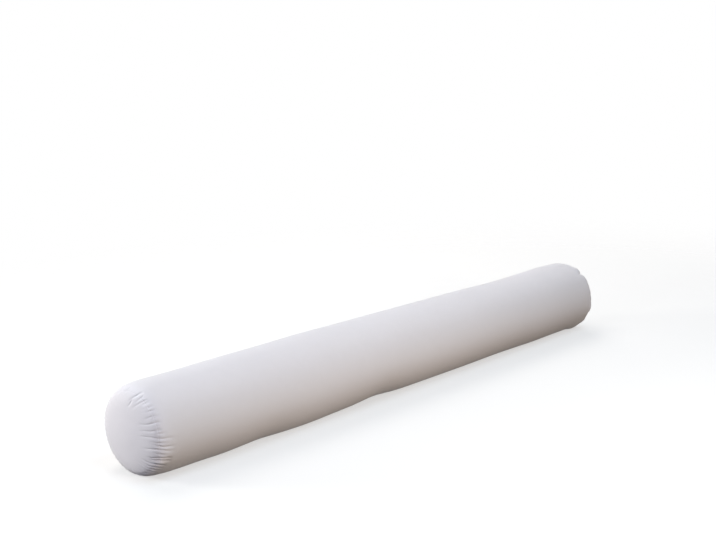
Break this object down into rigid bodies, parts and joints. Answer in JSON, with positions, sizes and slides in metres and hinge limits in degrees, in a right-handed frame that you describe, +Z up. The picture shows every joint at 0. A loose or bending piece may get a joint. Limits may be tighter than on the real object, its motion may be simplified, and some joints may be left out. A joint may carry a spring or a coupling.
{
  "type": "body pillow",
  "caption": "Long round bolster body pillow: a filled tube of cloth gathered onto a round panel at each end, lying on its side on a flat strip.",
  "frame": {"origin": "on the floor, under the middle of the pillow", "axes": "+X along the pillow towards its right end, +Z up, the front at -Y"},
  "size_m": [1.512, 0.1845, 0.1745],
  "materials": {
    "tube_cloth": "matte, soft, finely woven",
    "panel_cloth": "matte, soft, finely woven"
  },
  "bodies": {
    "root": {"pillow_tube": "tube_cloth", "end_panel_left": "panel_cloth", "end_panel_right": "panel_cloth"}
  },
  "joints": []
}
